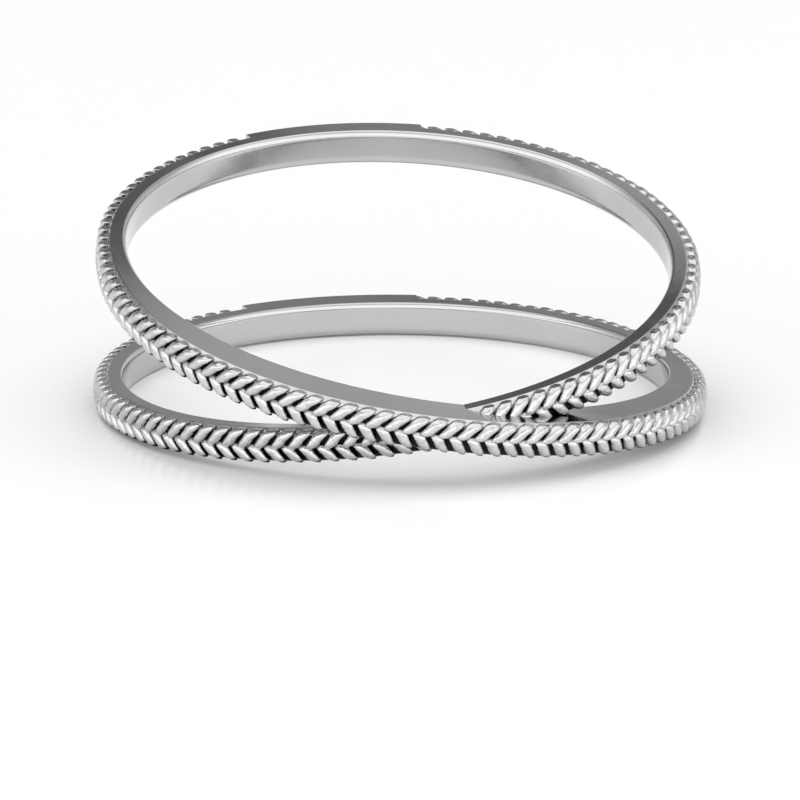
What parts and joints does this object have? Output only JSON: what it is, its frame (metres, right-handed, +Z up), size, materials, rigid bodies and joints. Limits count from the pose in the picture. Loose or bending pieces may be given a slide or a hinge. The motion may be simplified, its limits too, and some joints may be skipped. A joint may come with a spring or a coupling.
{
  "type": "crossover ring",
  "caption": "Finger ring of one narrow braided band that winds twice round the finger and crosses over itself at the front.",
  "frame": {"origin": "centre of the finger hole", "axes": "+Z up as the ring lies on its side, -Y to where the two passes cross, +X to the right as seen from there"},
  "size_m": [0.0194, 0.0204, 0.0072],
  "materials": {
    "silver": "polished"
  },
  "bodies": {
    "root": {"ring": "silver"}
  },
  "joints": []
}
